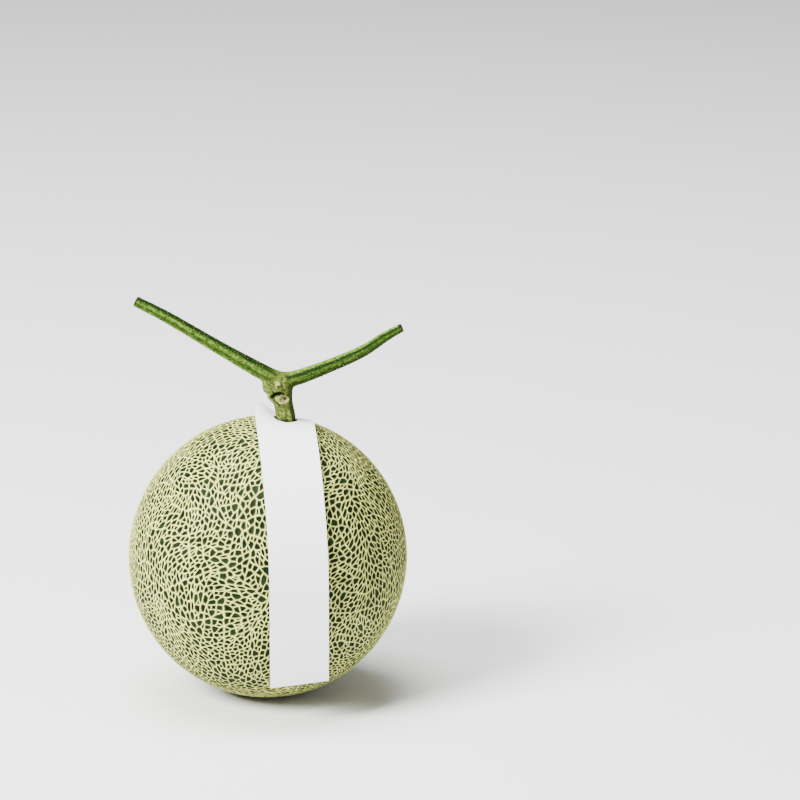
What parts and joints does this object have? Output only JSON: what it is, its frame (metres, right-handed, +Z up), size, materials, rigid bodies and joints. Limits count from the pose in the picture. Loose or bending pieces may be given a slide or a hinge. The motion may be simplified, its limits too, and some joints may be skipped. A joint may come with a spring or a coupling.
{
  "type": "muskmelon",
  "caption": "Whole round muskmelon with a raised cork net, its stalk and T-shaped piece of vine, and a bare paper strip hung on the stalk and down the front.",
  "frame": {"origin": "centre of the small flat spot that the fruit rests on", "axes": "+Z up from the resting spot towards the stalk, -Y the front where the paper strip hangs, +X the side that the stalk end leans to"},
  "size_m": [0.142, 0.1445, 0.2045],
  "materials": {
    "fruit": "matte",
    "stem": "satin",
    "paper_band": "matte"
  },
  "bodies": {
    "root": {"fruit": "fruit", "stem": "stem", "paper_band": "paper_band"}
  },
  "joints": []
}
